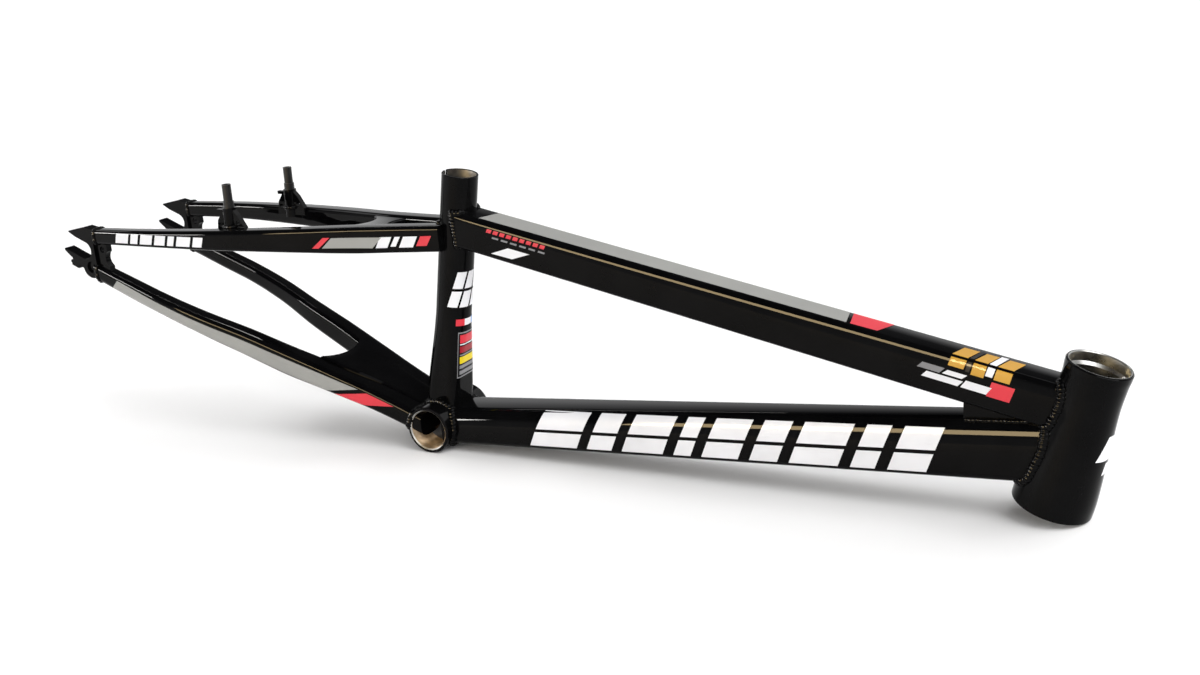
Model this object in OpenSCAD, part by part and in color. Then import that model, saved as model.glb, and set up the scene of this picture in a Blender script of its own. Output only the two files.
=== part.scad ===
// Race frame for a small-wheeled bicycle: welded aluminium tubes, no fork, wheels or cranks.
// The frame stands on its bottom bracket shell and on the lower rim of its head tube.
// Origin: centre of the bottom bracket shell. +X forward, +Y left, +Z up.

/* [Bottom bracket] */
// Width of the shell across its machined faces
bb_w = 68; // [60:1:90]
// Outside diameter of the shell
bb_d = 42; // [40:0.5:50]
// Crest diameter of the thread at each end
bb_thread_d = 34.8; // [30:0.1:36]
// Length of each threaded end
bb_thread_l = 24; // [15:1:28]

/* [Head tube] */
// Distance along the floor from the bottom bracket to the middle of the lower rim
head_x = 520; // [460:1:620]
// Length of the head tube
head_len = 113; // [100:1:140]
// Forward lean of the head tube from upright
head_lean = 15.7; // [8:0.1:24]
// Outside diameter of the upper rim
head_top_d = 46.5; // [45.5:0.5:52]
// Outside diameter of the lower rim
head_low_d = 57.5; // [56.5:0.5:64]
// Bore of the upper bearing seat
head_top_bore = 41.9; // [40:0.1:42]
// Bore of the lower bearing seat
head_low_bore = 52.1; // [50:0.1:53]
// Depth of each bearing seat
head_seat_l = 7.5; // [6:0.5:12]

/* [Seat tube] */
// Length from the bottom bracket centre to the seat tube's rim
seat_len = 225.5; // [200:0.5:280]
// Forward lean of the seat tube from upright
seat_lean = 10.3; // [5:0.1:18]
// Outside diameter of the round part
seat_d = 31; // [30:0.2:37]
// Bore for the seat post
seat_bore = 27.2; // [25.4:0.1:28]
// Width across the squared foot, side to side
seat_foot_w = 35; // [31:1:44]
// Length of the clamp slot below the rim
seat_slot_l = 30; // [15:1:40]

/* [Top tube] */
// Distance from the seat tube's rim down to the top tube's upper line
top_seat_drop = 29.5; // [22:0.5:50]
// Distance from the head tube's upper rim down to the top tube's upper line
top_head_drop = 18; // [12:0.5:30]
// Height of the top tube at the seat tube
top_seat_h = 30.5; // [24:0.5:40]
// Height of the top tube at the head tube
top_head_h = 34.5; // [28:0.5:44]
// Width of the top tube
top_w = 34; // [28:1:44]

/* [Down tube] */
// Distance from the head tube's upper rim down to the down tube's upper line
down_head_drop = 38.5; // [32:0.5:50]
// Height of the down tube at the bottom bracket
down_bb_h = 30.5; // [26:0.5:38]
// Height of the down tube at the head tube
down_head_h = 48.5; // [38:0.5:56]
// Width of the down tube at the bottom bracket
down_bb_w = 50; // [40:1:60]
// Width of the down tube at the head tube
down_head_w = 40; // [34:1:48]

/* [Rear triangle] */
// Distance along the floor from the bottom bracket back to the rear axle
axle_back = 349; // [320:1:400]
// Height of the rear axle above the bottom bracket
axle_up = 156; // [130:1:190]
// Clear width between the dropouts
hub_gap = 110; // [100:1:135]
// Thickness of each dropout plate
plate_t = 11; // [8:0.5:12]
// Width of the axle slot
slot_w = 17; // [12:0.5:18]
// Distance between the centres of the two brake posts
post_gap = 82; // [78:0.5:86]
// Diameter of the brake posts
post_d = 8; // [7:0.5:9]
// Length of each brake post above its collar's foot
post_l = 21; // [16:1:26]

/* [Walls] */
// Wall of the main tubes
wall = 2.2; // [1.6:0.1:3]
// Wall of the stays
stay_wall = 1.8; // [1.2:0.1:2.4]

/* [Hidden] */
paint = [0.05, 0.05, 0.055];
bare = [0.72, 0.71, 0.68];
corner_steps = 5;
eps = 0.5;

floor_z = -bb_d / 2;
head_low = [head_x, 0, floor_z + head_low_d / 2 * sin(head_lean)];
axle_x = -axle_back;
plate_y = (hub_gap + plate_t) / 2;
slope = 22.3;                    // the axle slot and the chain stays rise rearwards by this much

// Heights where the upper and lower lines of the main tubes meet the other tubes' axes
function mix(a, b, t) = a + (b - a) * t;
function on_head(s) = [head_x + s * sin(head_lean), head_low[2] + s * cos(head_lean)];
function on_seat(s) = [s * sin(seat_lean), s * cos(seat_lean)];
function seat_x(z) = z * tan(seat_lean);
top_a = on_seat(seat_len - top_seat_drop);
top_b = on_head(head_len - top_head_drop);
down_a = [0, bb_d / 2 - 6.4];
down_b = on_head(head_len - down_head_drop);
stay_top = top_a[1] - 12;        // upper line of the seat stays at the seat tube
stay_rise = 20.5;                // and above the axle, at the dropouts

// ---- rings and lofts --------------------------------------------------------------------------
// One ring of a tube: a rectangle with elliptic corners. c = side offset, w = half width,
// t and b = upper and lower line, u = [width, height] of the upper corners, l = of the lower ones
function corner(cy, cz, rx, rz, from) = [
    for (k = [0:corner_steps]) let (a = from + 90 * k / corner_steps)
        [cy + rx * cos(a), cz + rz * sin(a)]
];
function ring(c, w, t, b, u, l) = concat(
    corner(c + w - u[0], t - u[1], u[0], u[1], 0), corner(c - w + u[0], t - u[1], u[0], u[1], 90),
    corner(c - w + l[0], b + l[1], l[0], l[1], 180), corner(c + w - l[0], b + l[1], l[0], l[1], 270)
);
function shrink(s, d) = [
    s[0], s[1], s[2] - d, s[3] - d, s[4] + d,
    [for (v = s[5]) max(v - d, 0.4)], [for (v = s[6]) max(v - d, 0.4)]
];
function at_x(s) = [for (p = ring(s[1], s[2], s[3], s[4], s[5], s[6])) [s[0], p[0], p[1]]];
function mirrored(s) = [s[0], -s[1], s[2], s[3], s[4], s[5], s[6]];

// Side faces between the rings of one skin; inward skins turn their faces over
function sides(rings, m, base, flip) = [
    for (i = [0:rings - 2], j = [0:m - 1])
        let (a = base + i * m + j, b = base + i * m + (j + 1) % m, c = b + m, d = a + m)
        each flip ? [[a, b, c], [a, c, d]] : [[a, c, b], [a, d, c]]
];

// A closed solid through a list of sections [x, side, half width, top, bottom, upper, lower]
module loft(sections) {
    rings = [for (s = sections) at_x(s)];
    n = len(rings);
    m = len(rings[0]);
    polyhedron(
        points = [for (r = rings) each r],
        faces = concat(
            sides(n, m, 0, false),
            [[for (j = [0:m - 1]) j], [for (j = [m - 1:-1:0]) (n - 1) * m + j]]
        ),
        convexity = 6
    );
}

// The same with a wall: an outer skin, an inner skin and a rim at each end
module loft_tube(sections, t) {
    outer = [for (s = sections) at_x(s)];
    inner = [for (s = sections) at_x(shrink(s, t))];
    n = len(outer);
    m = len(outer[0]);
    polyhedron(
        points = concat([for (r = outer) each r], [for (r = inner) each r]),
        faces = concat(
            sides(n, m, 0, false), sides(n, m, n * m, true),
            [for (j = [0:m - 1]) let (k = (j + 1) % m) each [
                [j, k, n * m + k], [j, n * m + k, n * m + j],
                [(n - 1) * m + j, (2 * n - 1) * m + k, (n - 1) * m + k],
                [(n - 1) * m + j, (2 * n - 1) * m + j, (2 * n - 1) * m + k]
            ]]
        ),
        convexity = 8
    );
}

// ---- sections of each tube --------------------------------------------------------------------
// Upper line from the seat tube to the head tube; the rounded shoulders deepen towards the head
function top_section(x) = let (
    f = (x - top_a[0]) / (top_b[0] - top_a[0]),
    t = mix(top_a[1], top_b[1], f)
) [x, 0, top_w / 2, t, t - mix(top_seat_h, top_head_h, f), [top_w / 2 - 12, mix(6, 22, f)], [4, 4]];
// Lower line of the top tube: height at x = 0 and rise per mm
top_under = let (rise = ((top_b[1] - top_head_h) - (top_a[1] - top_seat_h)) / (top_b[0] - top_a[0]))
    [top_a[1] - top_seat_h - rise * top_a[0], rise];
top_sections = [
    for (f = [0.03, 0.13, 0.4, 0.7, 0.9, 0.99]) top_section(mix(top_a[0], top_b[0], f))
];

// Flat top narrows from 26 to 13 towards the head; below it the shoulders slope outwards
function down_section(x) = let (
    f = x / down_b[0],
    t = mix(down_a[1], down_b[1], f),
    w = mix(down_bb_w, down_head_w, f) / 2
) [x, 0, w, t, t - mix(down_bb_h, down_head_h, f), [w - mix(13, 6.5, f), mix(17, 30, f)], [7, 6]];
down_sections = [for (f = [0.015, 0.12, 0.35, 0.65, 0.88, 0.985]) down_section(f * down_b[0])];

// Stays: [fraction from dropout to front, share of the rear side offset, half width, height]
seat_stay_plan = [
    [0, 1, 7, 14], [0.175, 1, 8, 15], [0.37, 0.87, 8.5, 17.6], [0.59, 0.59, 9, 20.6],
    [0.75, 0.31, 9, 23.2], [0.86, 0.165, 9, 23], [1, 0, 9, 22.5],
];
seat_stay_x0 = axle_x + 15;
function seat_stay_section(p) = let (
    x = mix(seat_stay_x0, seat_x(stay_top), p[0]),
    t = mix(axle_up + stay_rise, stay_top, p[0])
) [x, mix(12, plate_y, p[1]), p[2], t, t - p[3], [4, 4], [4, 4]];
seat_stay_sections = [for (p = seat_stay_plan) seat_stay_section(p)];

chain_stay_plan = [
    [0, 1, 7, 16], [0.12, 1, 7.5, 17.5], [0.235, 0.99, 8, 18], [0.353, 0.89, 8.5, 20],
    [0.47, 0.7, 9, 23], [0.588, 0.55, 9.5, 24.5], [0.676, 0.41, 10.5, 23.5],
    [0.75, 0.29, 11.5, 22.5], [0.824, 0.17, 12.5, 21.5], [0.912, 0.06, 14, 21], [1, 0, 15, 20],
];
chain_stay_x0 = axle_x + 9;
function chain_stay_section(p) = let (
    x = mix(chain_stay_x0, 0, p[0]),
    t = mix(axle_up - 13, 8, p[0]) + 4 * sin(180 * p[0])
) [x, mix(17, plate_y, p[1]), p[2], t, t - p[3], [p[2] * 0.45, 4.5], [p[2] * 0.75, 7]];
chain_stay_sections = [for (p = chain_stay_plan) chain_stay_section(p)];

// Yoke plate: [fraction of the chain stay, half width], flush above the two stays
yoke_plan = [[0.665, 30.5], [0.75, 25.5], [0.82, 19], [0.905, 16], [0.97, 16]];
yoke_t = 13;
function yoke_section(p) = let (s = chain_stay_section([p[0], 0, 5, yoke_t])) [
    s[0], 0, p[1], s[3] + 3.2 * sin(180 * (1 - p[0]) / 0.7), s[4], [2.5, 2], [2, 2]
];

// ---- outer solids that the neighbouring tubes are cut to ----------------------------------------
module on_head_axis() {
    translate(head_low) rotate([0, head_lean, 0]) children();
}

// Outer profile: a straight lower cup, a waist below the upper collar, then the collar itself
head_profile = [
    [head_low_d / 2 - 1, 0], [head_low_d / 2, 1], [head_low_d / 2, 11],
    [head_low_d / 2 - 0.7, 22], [mix(head_low_d, head_top_d, 0.5) / 2 - 0.2, 46],
    [head_top_d / 2 + 0.6, head_len - 45], [head_top_d / 2 - 0.7, head_len - 27],
    [head_top_d / 2 - 0.5, head_len - 10], [head_top_d / 2, head_len - 5],
    [head_top_d / 2, head_len - 0.6], [head_top_d / 2 - 0.6, head_len],
];
module head_outer() {
    on_head_axis() rotate_extrude($fn = 64)
        polygon(concat([[0, 0]], head_profile, [[0, head_len]]));
}

module bb_outer() {
    rotate([90, 0, 0]) cylinder(d = bb_d, h = bb_w, center = true, $fn = 64);
}

// The seat tube about its own axis: a squared prism cut by a cone that blends it into the round part
seat_foot_l = 22;
seat_round_l = 108;
seat_slot_w = 3.6;
slot_end_d = 6;
module seat_outer() {
    corner_r = norm([seat_foot_w, seat_d]) / 2;
    rotate([0, seat_lean, 0]) intersection() {
        rotate_extrude($fn = 64) polygon([
            [0, 0], [corner_r, 0], [corner_r, seat_foot_l], [seat_d / 2, seat_round_l],
            [seat_d / 2, seat_len - 0.5], [seat_d / 2 - 0.5, seat_len], [0, seat_len],
        ]);
        linear_extrude(seat_len) rotate(90)
            polygon(ring(0, seat_foot_w / 2, seat_d / 2 + 0.3, -seat_d / 2 - 0.3, [7, 7], [7, 7]));
    }
}

// Everything above a sloping plane through the line z at x = 0 and its rise per mm
module above(z, rise) {
    translate([0, 0, z]) rotate([0, -atan(rise), 0]) translate([-600, -100, 0]) cube([1400, 200, 200]);
}

// ---- main tubes ---------------------------------------------------------------------------------
head_low_relief = 46;             // inside diameter between the bearing seats, below and above
head_top_relief = 38;
head_low_seat = head_seat_l + (head_low_bore - head_low_relief) / 2;
head_top_seat = head_seat_l + (head_top_bore - head_top_relief) / 2;
module head_tube() {
    color(paint) difference() {
        head_outer();
        on_head_axis() rotate_extrude($fn = 64) polygon([
            [0, -eps], [head_low_bore / 2 + 0.5, -eps], [head_low_bore / 2 + 0.5, 0],
            [head_low_bore / 2, 0.5], [head_low_bore / 2, head_seat_l],
            [head_low_relief / 2, head_low_seat], [head_low_relief / 2, 24],
            [head_top_relief / 2, head_len - 40], [head_top_relief / 2, head_len - head_top_seat],
            [head_top_bore / 2, head_len - head_seat_l], [head_top_bore / 2, head_len - 0.5],
            [head_top_bore / 2 + 0.5, head_len], [head_top_bore / 2 + 0.5, head_len + eps],
            [0, head_len + eps],
        ]);
    }
}

module seat_tube() {
    color(paint) difference() {
        seat_outer();
        rotate([0, seat_lean, 0]) {
            translate([0, 0, bb_d / 2 + 1]) cylinder(d = seat_bore, h = seat_len, $fn = 64);
            translate([-seat_d / 2 - 1, 0, seat_len - seat_slot_l / 2 + 0.5])
                cube([seat_d / 2 + 2, seat_slot_w, seat_slot_l + 1], center = true);
            translate([0, 0, seat_len - seat_slot_l]) rotate([0, -90, 0])
                cylinder(d = slot_end_d, h = seat_d, $fn = 32);
        }
        bb_outer();
    }
}

module top_tube() {
    color(paint) difference() {
        loft_tube(top_sections, wall);
        head_outer();
        seat_outer();
    }
}

module down_tube() {
    color(paint) difference() {
        loft_tube(down_sections, wall);
        head_outer();
        bb_outer();
        seat_outer();
        above(top_under[0], top_under[1]);
    }
}

// Fills the acute corner between the top tube and the down tube, behind the head tube
gusset_tip = 460;
module throat_gusset() {
    tip = gusset_tip;
    front = down_b[0] - 20;
    color(paint) difference() {
        rotate([90, 0, 0]) linear_extrude(24, center = true) polygon([
            [tip, down_section(tip)[3] - 3], [tip, top_under[0] + top_under[1] * tip],
            [front, top_under[0] + top_under[1] * front],
        ]);
        loft(down_sections);
    }
}

module bottom_bracket_shell() {
    relief_d = bb_thread_d + 1.6;
    color(bare) rotate([90, 0, 0]) difference() {
        cylinder(d = bb_d, h = bb_w, center = true, $fn = 64);
        cylinder(d = bb_thread_d, h = bb_w + 2, center = true, $fn = 64);
        cylinder(d = relief_d, h = bb_w - 2 * bb_thread_l, center = true, $fn = 64);
        for (side = [0, 180]) rotate([side, 0, 0]) translate([0, 0, bb_w / 2 - 0.8])
            cylinder(d1 = bb_thread_d, d2 = bb_thread_d + 2, h = 0.81, $fn = 64);
        // Air holes into the yoke and the seat tube
        rotate([0, 0, 158]) rotate([0, 90, 0]) cylinder(d = 11, h = bb_d, $fn = 32);
        rotate([0, 0, 90 - seat_lean]) rotate([0, 90, 0]) cylinder(d = 16, h = bb_d, $fn = 32);
    }
}

// ---- rear triangle ------------------------------------------------------------------------------
module seat_stay(side) {
    color(paint) difference() {
        loft_tube([for (s = seat_stay_sections) side > 0 ? s : mirrored(s)], stay_wall);
        seat_outer();
    }
}

module chain_stay(side) {
    color(paint) difference() {
        loft_tube([for (s = chain_stay_sections) side > 0 ? s : mirrored(s)], stay_wall);
        bb_outer();
        seat_outer();
    }
}

module both_stays(sections) {
    loft(sections);
    loft([for (s = sections) mirrored(s)]);
}

module chain_stay_yoke() {
    sections = [for (p = yoke_plan) yoke_section(p)];
    back = sections[0][0];
    color(paint) difference() {
        loft(sections);
        both_stays(chain_stay_sections);
        bb_outer();
        seat_outer();
        // Hollow rear edge that clears the tyre
        translate([back - 46, 0, sections[0][3] - 40]) cylinder(r = 54.5, h = 60, $fn = 96);
    }
}

bridge_at = 0.77;                // how far along the stays the bridge sits
bridge_h = 13;
module seat_stay_bridge() {
    x = mix(seat_stay_x0, seat_x(stay_top), bridge_at) + 4;
    top = mix(axle_up + stay_rise, stay_top, bridge_at) - 1.5;
    color(paint) difference() {
        translate([x, 0, top - bridge_h]) linear_extrude(bridge_h) difference() {
            square([46, 52], center = true);
            for (s = [-1, 1]) translate([s * 33, 0]) circle(r = 21, $fn = 64);
        }
        both_stays(seat_stay_sections);
    }
}

// Outline of a dropout about the axle, in the plane of the plate
module dropout_outline() {
    difference() {
        union() {
            // Beak above the slot and the tab in the seat stay's end
            polygon([[-17.5, 17.2], [-16.6, 18.6], [4, 22.6], [15, 20.2], [15, 6.5], [0, 0]]);
            // Web between the stays, with a hollow front edge
            polygon([[0, -20], [9, -27.5], [9, -13.2], [27, -22], [27, 6], [15, 7], [0, 8]]);
            // Lower jaw
            rotate(180 - slope) polygon([
                [-9.6, 3], [-9.6, 20], [13, 14.4], [24, 10.6], [25, 9.4], [24.6, slot_w / 2], [-4, slot_w / 2],
            ]);
            // Round lobe under the jaw with its small stop
            translate([5.3, -16.2]) circle(r = 10.6, $fn = 48);
            translate([-19.2, -11.2]) circle(r = 1.8, $fn = 16);
            translate([-15, -13]) rotate(-slope) square([9, 7], center = true);
        }
        // Axle slot, open to the rear
        rotate(180 - slope) union() {
            circle(d = slot_w, $fn = 64);
            translate([0, -slot_w / 2]) square([60, slot_w]);
            translate([14, -slot_w / 2]) rotate(-8) square([40, slot_w / 2]);
        }
        translate([32.5, -8]) circle(r = 9, $fn = 48);
        translate([21, 1]) circle(d = 6, $fn = 32);
    }
}

module dropout(side) {
    color(paint) difference() {
        translate([axle_x, side * plate_y, axle_up]) rotate([90, 0, 0])
            linear_extrude(plate_t, center = true) dropout_outline();
        // Milled pockets that thin the web, and a round recess in the lobe
        for (face = [-1, 1]) translate([axle_x + 20.5, side * plate_y + face * plate_t / 2, axle_up - 7.5])
            cube([15, 5, 40], center = true);
        translate([axle_x + 5.3, side * (plate_y + plate_t / 2), axle_up - 16.2])
            rotate([90, 0, 0]) cylinder(d = 11, h = 4, center = true, $fn = 48);
        translate([axle_x + 9, side * plate_y - 20, axle_up - 60]) cube([60, 40, 33]);
        both_stays(seat_stay_sections);
        both_stays(chain_stay_sections);
    }
}

// ---- brake posts --------------------------------------------------------------------------------
post_x = axle_x + 166;
post_lean = 2;
post_collar_l = 6;
post_clear = 17.7;               // foot of the collar above the stay's upper line
// The stay beside the post: fraction along it, height of its upper line, its inner side
post_f = (post_x - seat_stay_x0) / (seat_x(stay_top) - seat_stay_x0);
post_foot = mix(axle_up + stay_rise, stay_top, post_f) + post_clear;
stay_inner = mix(12, plate_y, lookup(post_f, [for (p = seat_stay_plan) [p[0], p[1]]]))
    - lookup(post_f, [for (p = seat_stay_plan) [p[0], p[2]]]);
boss_d = 12;
boss_sink = 4;                   // how far the boss runs into the stay
boss_reach = max(stay_inner + boss_sink - boss_d / 2 - post_gap / 2, 0);
module at_post(side) {
    translate([post_x, side * post_gap / 2, post_foot]) rotate([0, post_lean, 0]) children();
}

// Fan-shaped plate with spring holes under a round boss, welded to the stay's inner edge
module brake_boss(side) {
    color(paint) difference() {
        at_post(side) {
            translate([0, 0, -26]) hull() for (reach = [0, boss_reach])
                translate([0, side * reach, 0]) cylinder(d = boss_d, h = 26, $fn = 48);
            rotate([90, 0, 0]) linear_extrude(5, center = true) difference() {
                polygon([[-6, -2], [6, -2], [10, -6], [17, -17], [17, -24], [-15, -24], [-13, -12]]);
                for (p = [[-10, -16.5], [10, -13.5]]) translate(p) circle(d = 4.6, $fn = 24);
            }
            translate([-9, 0, -3.5]) cube([9, 4, 3], center = true);
        }
        at_post(side) translate([0, 0, -12]) cylinder(d = post_d - 2, h = 30, $fn = 48);
        both_stays(seat_stay_sections);
    }
}

module brake_post(side) {
    color(paint) at_post(side) difference() {
        union() {
            translate([0, 0, -12]) cylinder(d = post_d - 2, h = 12, $fn = 48);
            cylinder(d = post_d + 1.4, h = post_collar_l, $fn = 48);
            cylinder(d = post_d, h = post_l, $fn = 48);
        }
        translate([0, 0, post_l - 14]) cylinder(d = 5, h = 15, $fn = 32);
    }
}

head_tube();
seat_tube();
top_tube();
down_tube();
throat_gusset();
bottom_bracket_shell();
seat_stay(1);  // seat_stay_left
seat_stay(-1);  // seat_stay_right
chain_stay(1);  // chain_stay_left
chain_stay(-1);  // chain_stay_right
chain_stay_yoke();
seat_stay_bridge();
dropout(1);  // dropout_left
dropout(-1);  // dropout_right
brake_boss(1);  // brake_boss_left
brake_boss(-1);  // brake_boss_right
brake_post(1);  // brake_post_left
brake_post(-1);  // brake_post_right
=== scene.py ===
"""Looks of a bare race frame for a small-wheeled bicycle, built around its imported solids.

Sizes inside the classes are in millimetres, in the frame of the solids: origin at the centre of
the bottom bracket shell, +X forward, +Y left, +Z up. Meshes are made in metres.
"""

import logging
import math
import random
from collections.abc import Callable
from dataclasses import dataclass
from enum import Enum
from functools import partial

import bpy  # noqa: E402
from mathutils import Matrix, Vector  # noqa: E402

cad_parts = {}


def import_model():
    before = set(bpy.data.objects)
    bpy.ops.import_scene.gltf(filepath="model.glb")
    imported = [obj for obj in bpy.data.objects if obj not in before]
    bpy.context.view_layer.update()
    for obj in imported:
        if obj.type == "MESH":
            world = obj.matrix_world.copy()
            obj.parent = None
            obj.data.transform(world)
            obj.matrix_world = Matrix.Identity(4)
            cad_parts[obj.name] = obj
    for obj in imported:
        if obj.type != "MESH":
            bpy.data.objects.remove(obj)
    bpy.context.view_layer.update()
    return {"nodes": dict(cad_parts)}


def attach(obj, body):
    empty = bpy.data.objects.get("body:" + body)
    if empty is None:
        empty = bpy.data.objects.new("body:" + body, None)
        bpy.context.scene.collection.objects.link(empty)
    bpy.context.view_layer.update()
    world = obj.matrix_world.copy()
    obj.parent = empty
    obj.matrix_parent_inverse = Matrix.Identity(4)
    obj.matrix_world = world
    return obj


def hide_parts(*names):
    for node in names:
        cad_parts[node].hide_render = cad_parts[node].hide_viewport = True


LOG = logging.getLogger("race_frame")
MM = 0.001
PRINT_LIFT = 0.12
PATCH_LIFT = 0.3
BEAD_RADIUS = 3.6
FINE_BEAD_RADIUS = 1.9
Point = tuple[float, float, float]
Pair = tuple[float, float]
Box = tuple[float, float, float, float]


class Side(Enum):
    """The two sides of the frame, as signs of Y."""

    LEFT = 1
    RIGHT = -1


class Face(Enum):
    """Which face of a tube a printed panel lies on."""

    OUTER = "outer"
    TOP = "top"


# ---- Small helpers ----
def mix(a: float, b: float, t: float) -> float:
    """Returns the value a share t of the way from a to b."""
    return a + (b - a) * t


def linear(r: float, g: float, b: float) -> tuple[float, float, float, float]:
    """Turns display colour values into linear ones.

    Args:
        r: Red, 0 to 1.
        g: Green, 0 to 1.
        b: Blue, 0 to 1.

    Returns:
        The colour with an alpha of 1.
    """

    def one(v: float) -> float:
        """Returns one channel in linear light."""
        return v / 12.92 if v <= 0.04045 else ((v + 0.055) / 1.055) ** 2.4

    return (one(r), one(g), one(b), 1.0)


def smooth_plan(plan: list[tuple[float, ...]], f: float) -> list[float]:
    """Reads a table of rows keyed by their first value, with a smooth curve through them.

    Args:
        plan: Rows sorted by their first value.
        f: The key to read at.

    Returns:
        The other values of a row at f.
    """
    n = len(plan)
    i = max(0, min(n - 2, sum(1 for row in plan if row[0] <= f) - 1))
    a, b = plan[i], plan[i + 1]
    h = b[0] - a[0]
    t = max(0.0, min(1.0, (f - a[0]) / h))
    out = []
    for k in range(1, len(a)):
        before = plan[i - 1] if i > 0 else a
        after = plan[i + 2] if i + 2 < n else b
        ma = (b[k] - before[k]) / max(b[0] - before[0], 1e-9)
        mb = (after[k] - a[k]) / max(after[0] - a[0], 1e-9)
        out.append(
            (2 * t**3 - 3 * t**2 + 1) * a[k]
            + (t**3 - 2 * t**2 + t) * h * ma
            + (-2 * t**3 + 3 * t**2) * b[k]
            + (t**3 - t**2) * h * mb
        )
    return out


# ---- Finishes ----
@dataclass(frozen=True)
class Finish:
    """A coated or bare surface with small, uneven changes of tone and gloss.

    Attributes:
        name: Name of the material.
        low: Linear colour of its darker patches.
        high: Linear colour of its lighter patches.
        rough: Roughness of the base, lowest and highest.
        metal: Share that is bare metal.
        coat: Strength of the clear coat.
        coat_rough: Roughness of the clear coat.
        coat_ior: Refraction of the clear coat: low for a deep black with faint reflections.
        gleam: Share of the base's own reflection.
        grain: Size of the unevenness, per metre.
        bump: Height of the fine unevenness in metres.
        stretch: Scale of the pattern along X, Y and Z.
    """

    name: str
    low: tuple[float, float, float, float]
    high: tuple[float, float, float, float]
    rough: Pair = (0.2, 0.3)
    metal: float = 0.0
    coat: float = 0.0
    coat_rough: float = 0.03
    coat_ior: float = 1.5
    gleam: float = 0.5
    grain: float = 60.0
    bump: float = 0.0
    stretch: Point = (1.0, 1.0, 1.0)

    def build(self) -> bpy.types.Material:
        """Returns the material, made on first use."""
        if self.name in bpy.data.materials:
            return bpy.data.materials[self.name]
        mat = bpy.data.materials.new(self.name)
        mat.use_nodes = True
        nodes, link = mat.node_tree.nodes, mat.node_tree.links.new
        shader = nodes["Principled BSDF"]
        coord = nodes.new("ShaderNodeTexCoord")
        mapping = nodes.new("ShaderNodeMapping")
        mapping.inputs["Scale"].default_value = self.stretch
        link(coord.outputs["Object"], mapping.inputs["Vector"])
        noise = nodes.new("ShaderNodeTexNoise")
        noise.inputs["Scale"].default_value = self.grain
        noise.inputs["Detail"].default_value = 4.0
        link(mapping.outputs["Vector"], noise.inputs["Vector"])
        ramp = nodes.new("ShaderNodeValToRGB")
        ramp.color_ramp.elements[0].position = 0.3
        ramp.color_ramp.elements[0].color = self.low
        ramp.color_ramp.elements[1].position = 0.7
        ramp.color_ramp.elements[1].color = self.high
        link(noise.outputs["Fac"], ramp.inputs["Fac"])
        link(ramp.outputs["Color"], shader.inputs["Base Color"])
        spread = nodes.new("ShaderNodeMapRange")
        spread.inputs["To Min"].default_value = self.rough[0]
        spread.inputs["To Max"].default_value = self.rough[1]
        link(noise.outputs["Fac"], spread.inputs["Value"])
        link(spread.outputs["Result"], shader.inputs["Roughness"])
        for socket, value in (
            ("Metallic", self.metal),
            ("Coat Weight", self.coat),
            ("Coat Roughness", self.coat_rough),
            ("Coat IOR", self.coat_ior),
            ("Specular IOR Level", self.gleam),
        ):
            shader.inputs[socket].default_value = value
        if self.bump:
            fine = nodes.new("ShaderNodeTexNoise")
            fine.inputs["Scale"].default_value = self.grain * 6
            link(mapping.outputs["Vector"], fine.inputs["Vector"])
            bump = nodes.new("ShaderNodeBump")
            bump.inputs["Strength"].default_value = 1.0
            bump.inputs["Distance"].default_value = self.bump
            link(fine.outputs["Fac"], bump.inputs["Height"])
            link(bump.outputs["Normal"], shader.inputs["Normal"])
            link(bump.outputs["Normal"], shader.inputs["Coat Normal"])
        return mat


def printed(name: str, r: float, g: float, b: float) -> Finish:
    """Returns the finish of a printed panel under the frame's clear coat.

    Args:
        name: Name of the material.
        r: Red as displayed.
        g: Green as displayed.
        b: Blue as displayed.
    """
    shade = 0.95
    return Finish(
        name,
        linear(r * shade, g * shade, b * shade),
        linear(r, g, b),
        rough=(0.35, 0.45),
        coat=0.8,
        coat_rough=0.04,
        coat_ior=1.22,
        gleam=0.1,
        grain=25.0,
    )


PAINT = Finish(
    "black_lacquer",
    linear(0.016, 0.016, 0.018),
    linear(0.036, 0.036, 0.039),
    rough=(0.12, 0.2),
    coat=1.0,
    coat_rough=0.02,
    coat_ior=1.145,
    gleam=0.0,
    grain=35.0,
    bump=2.0e-6,
)
SATIN = Finish(
    "satin_black_posts",
    linear(0.03, 0.03, 0.032),
    linear(0.06, 0.06, 0.063),
    rough=(0.3, 0.42),
    gleam=0.22,
    grain=90.0,
    bump=8.0e-6,
)
BARE = Finish(
    "turned_bare_metal",
    linear(0.56, 0.56, 0.55),
    linear(0.70, 0.70, 0.69),
    rough=(0.22, 0.36),
    metal=1.0,
    grain=120.0,
    bump=4.0e-6,
    stretch=(1.0, 0.15, 1.0),
)
THREAD = Finish(
    "bare_thread",
    linear(0.50, 0.43, 0.34),
    linear(0.68, 0.60, 0.50),
    rough=(0.25, 0.4),
    metal=1.0,
    grain=160.0,
    bump=5.0e-6,
)
RAW_INSIDE = Finish(
    "raw_tube_inside",
    linear(0.34, 0.33, 0.32),
    linear(0.48, 0.47, 0.45),
    rough=(0.35, 0.55),
    metal=0.9,
    grain=90.0,
    bump=6.0e-6,
)
SILVER = printed("silver_print", 0.60, 0.60, 0.585)
WHITE = printed("white_print", 0.93, 0.93, 0.94)
RED = printed("red_print", 0.86, 0.22, 0.27)
DARK_RED = printed("dark_red_print", 0.62, 0.13, 0.17)
GOLD = printed("gold_print", 0.80, 0.60, 0.22)
YELLOW = printed("yellow_print", 0.93, 0.83, 0.12)
GREY = printed("grey_print", 0.52, 0.52, 0.53)
BLUE = printed("blue_print", 0.42, 0.60, 0.82)
# Black print on the panels; also the painted shade in the shell's air holes.
INK_AND_HOLE_SHADE = printed("black_print", 0.05, 0.05, 0.055)
FLOOR = Finish(
    "pale_floor",
    linear(0.955, 0.955, 0.955),
    linear(0.965, 0.965, 0.965),
    rough=(0.75, 0.85),
    grain=2.0,
)


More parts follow.
